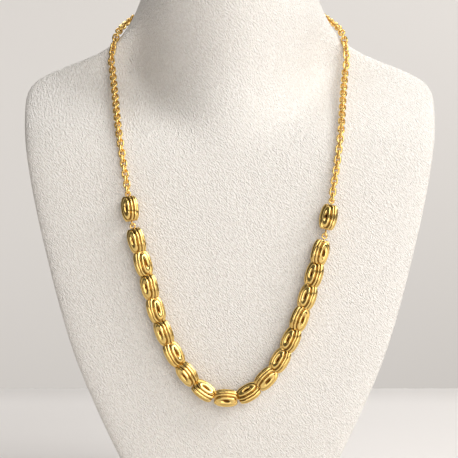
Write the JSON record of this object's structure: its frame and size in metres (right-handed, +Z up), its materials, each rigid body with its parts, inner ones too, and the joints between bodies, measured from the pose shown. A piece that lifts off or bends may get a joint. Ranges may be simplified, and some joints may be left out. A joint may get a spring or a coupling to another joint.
{
  "type": "bead necklace on neck bust",
  "caption": "Necklace of ribbed gold barrel beads strung between two cable chains, resting on a white leatherette neck bust with a flat base.",
  "frame": {"origin": "on the flat underside of the base, in the middle of its width and under the neck", "axes": "+Z up through the neck, the chest with the beads faces -Y, +X to the viewer's right"},
  "size_m": [0.159, 0.0767, 0.225],
  "materials": {
    "leatherette": "white embossed leatherette, matte",
    "ribbed_gold": "gold plated, ribs cut bright and polished",
    "wire_gold": "gold plated, polished wire"
  },
  "bodies": {
    "root": {"neck_bust": "leatherette", "bead_01": "ribbed_gold", "bead_02": "ribbed_gold", "bead_03": "ribbed_gold", "bead_04": "ribbed_gold", "bead_05": "ribbed_gold", "bead_06": "ribbed_gold", "bead_07": "ribbed_gold", "bead_08": "ribbed_gold", "bead_09": "ribbed_gold", "bead_10": "ribbed_gold", "bead_11": "ribbed_gold", "bead_12": "ribbed_gold", "bead_13": "ribbed_gold", "bead_14": "ribbed_gold", "bead_15": "ribbed_gold", "bead_16": "ribbed_gold", "bead_17": "ribbed_gold", "loose_bead_left": "ribbed_gold", "loose_bead_right": "ribbed_gold", "bead_pin_left": "wire_gold", "bead_pin_right": "wire_gold", "string_wire": "wire_gold", "chain_left": "wire_gold", "chain_right": "wire_gold", "clasp": "wire_gold"}
  },
  "joints": []
}
